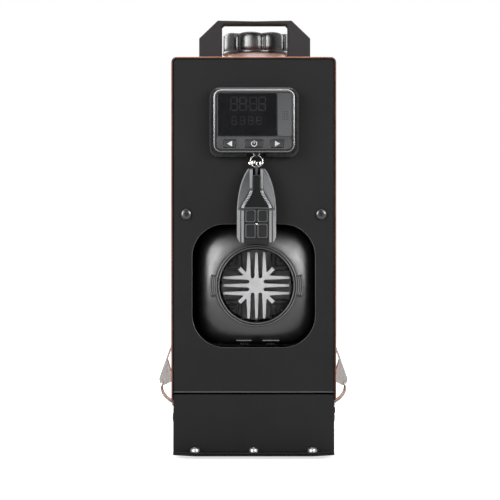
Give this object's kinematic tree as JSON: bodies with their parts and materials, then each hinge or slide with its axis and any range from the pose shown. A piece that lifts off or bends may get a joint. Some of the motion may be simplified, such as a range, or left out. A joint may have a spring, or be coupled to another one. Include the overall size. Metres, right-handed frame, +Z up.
{
  "type": "diesel air heater",
  "caption": "Toolbox-style diesel air heater: tall sheet-metal case with carry handle, fuel cap, wall controller, hanging remote, round warm-air outlet and side draw latches.",
  "frame": {"origin": "on the ground, under the middle of the object's bounding box", "axes": "+Z up, the front panel with the controller and the outlet faces -Y, +X to the right seen from the front"},
  "size_m": [0.1892, 0.4268, 0.4142],
  "materials": {
    "orange_paint": "satin",
    "black_paint": "matte",
    "black_plastic": "satin",
    "gloss_black": "gloss",
    "white_plastic": "satin",
    "rubber": "matte",
    "cast_aluminium": "satin",
    "bright_steel": "satin",
    "brass": "satin",
    "board_green": "matte",
    "filter_amber": "gloss",
    "silver_plastic": "satin",
    "grey_plastic": "satin"
  },
  "bodies": {
    "root": {"base_tray": "black_paint", "base_front_cover": "black_paint", "base_deck": "black_paint", "foot_front_left": "rubber", "foot_front_right": "rubber", "foot_rear_left": "rubber", "foot_rear_right": "rubber", "power_gland": "rubber", "lead_loop": "rubber", "casing_shell": "orange_paint", "front_panel": "black_paint", "rear_panel": "black_paint", "carry_handle": "black_plastic", "tank_shelf": "black_paint", "fuel_tank": "white_plastic", "neck_seal": "rubber", "heater_upper_shell": "black_plastic", "heater_lower_shell": "black_plastic", "heater_front_shell": "black_plastic", "heater_inlet_cowl": "black_plastic", "outlet_ring": "black_plastic", "heat_exchanger": "cast_aluminium", "burner_tube": "bright_steel", "glow_plug": "brass", "blower_motor": "bright_steel", "control_board": "board_green", "heater_cradle": "bright_steel", "exhaust_pipe": "bright_steel", "combustion_air_pipe": "black_plastic", "fuel_pump": "bright_steel", "fuel_filter": "filter_amber", "suction_hose": "rubber", "link_hose": "rubber", "feed_hose": "rubber", "controller_back": "black_plastic", "controller_bezel": "silver_plastic", "controller_face": "grey_plastic", "controller_screen": "gloss_black", "latch_bracket_left": "bright_steel", "latch_catch_left": "bright_steel", "latch_bracket_right": "bright_steel", "latch_catch_right": "bright_steel"},
    "rotor": {"fan_wheel": "black_plastic", "burner_impeller": "cast_aluminium"},
    "cap_seat": {"cap_gasket": "rubber"},
    "cap": {"fuel_cap": "gloss_black"},
    "button_left": {"controller_button_left": "black_plastic"},
    "button_power": {"controller_button_power": "black_plastic"},
    "button_right": {"controller_button_right": "black_plastic"},
    "ring": {"key_ring": "bright_steel"},
    "remote": {"remote_body": "silver_plastic"},
    "remote_slide": {"remote_cover": "black_plastic"},
    "key_1": {"remote_button_1": "grey_plastic"},
    "key_2": {"remote_button_2": "grey_plastic"},
    "key_3": {"remote_button_3": "grey_plastic"},
    "key_4": {"remote_button_4": "grey_plastic"},
    "lever_left": {"latch_lever_left": "bright_steel"},
    "bail_left": {"latch_bail_left": "bright_steel"},
    "lever_right": {"latch_lever_right": "bright_steel"},
    "bail_right": {"latch_bail_right": "bright_steel"}
  },
  "joints": [
    {"name": "fan_spin", "type": "hinge", "parent": "root", "child": "rotor", "pos_m": [0.0025, 0.09, 0.1565], "axis": [0, 1, 0], "continuous": true},
    {"name": "cap_lift", "type": "slide", "parent": "root", "child": "cap_seat", "axis": [0, 0, 1], "range_m": [0, 0.0121]},
    {"name": "cap_turn", "type": "hinge", "parent": "cap_seat", "child": "cap", "pos_m": [0.0031, 0.005, 0.39], "axis": [0, 0, 1], "range_deg": [0, 720]},
    {"name": "press_left", "type": "slide", "parent": "root", "child": "button_left", "axis": [0, 1, 0], "range_m": [0, 0.0008], "stiffness_N_per_m": 400},
    {"name": "press_power", "type": "slide", "parent": "root", "child": "button_power", "axis": [0, 1, 0], "range_m": [0, 0.0008], "stiffness_N_per_m": 400},
    {"name": "press_right", "type": "slide", "parent": "root", "child": "button_right", "axis": [0, 1, 0], "range_m": [0, 0.0008], "stiffness_N_per_m": 400},
    {"name": "ring_swing", "type": "hinge", "parent": "root", "child": "ring", "pos_m": [0.0025, -0.203, 0.2749], "axis": [-1, 0, 0], "range_deg": [0, 60]},
    {"name": "remote_swing", "type": "hinge", "parent": "ring", "child": "remote", "pos_m": [0.0025, -0.203, 0.2639], "axis": [-1, 0, 0], "range_deg": [0, 50]},
    {"name": "cover_slide", "type": "slide", "parent": "remote", "child": "remote_slide", "axis": [0, 0, -1], "range_m": [0, 0.027]},
    {"name": "press_key_1", "type": "slide", "parent": "remote", "child": "key_1", "axis": [0, 1, 0], "range_m": [0, 0.0006], "stiffness_N_per_m": 300},
    {"name": "press_key_2", "type": "slide", "parent": "remote", "child": "key_2", "axis": [0, 1, 0], "range_m": [0, 0.0006], "stiffness_N_per_m": 300},
    {"name": "press_key_3", "type": "slide", "parent": "remote", "child": "key_3", "axis": [0, 1, 0], "range_m": [0, 0.0006], "stiffness_N_per_m": 300},
    {"name": "press_key_4", "type": "slide", "parent": "remote", "child": "key_4", "axis": [0, 1, 0], "range_m": [0, 0.0006], "stiffness_N_per_m": 300},
    {"name": "lever_left_turn", "type": "hinge", "parent": "root", "child": "lever_left", "pos_m": [-0.08, 0, 0.062], "axis": [0, -1, 0], "range_deg": [0, 65]},
    {"name": "bail_left_turn", "type": "hinge", "parent": "lever_left", "child": "bail_left", "pos_m": [-0.0912, 0, 0.056], "axis": [0, 1, 0], "range_deg": [0, 106]},
    {"name": "lever_right_turn", "type": "hinge", "parent": "root", "child": "lever_right", "pos_m": [0.08, 0, 0.062], "axis": [0, 1, 0], "range_deg": [0, 65]},
    {"name": "bail_right_turn", "type": "hinge", "parent": "lever_right", "child": "bail_right", "pos_m": [0.0912, 0, 0.056], "axis": [0, -1, 0], "range_deg": [0, 106]}
  ],
  "couplings": [
    {"joint": "cap_lift", "follows": "cap_turn", "m_per_rad": 0.000955},
    {"joint": "bail_left_turn", "follows": "lever_left_turn", "ratio": 1.63},
    {"joint": "bail_right_turn", "follows": "lever_right_turn", "ratio": 1.63}
  ]
}
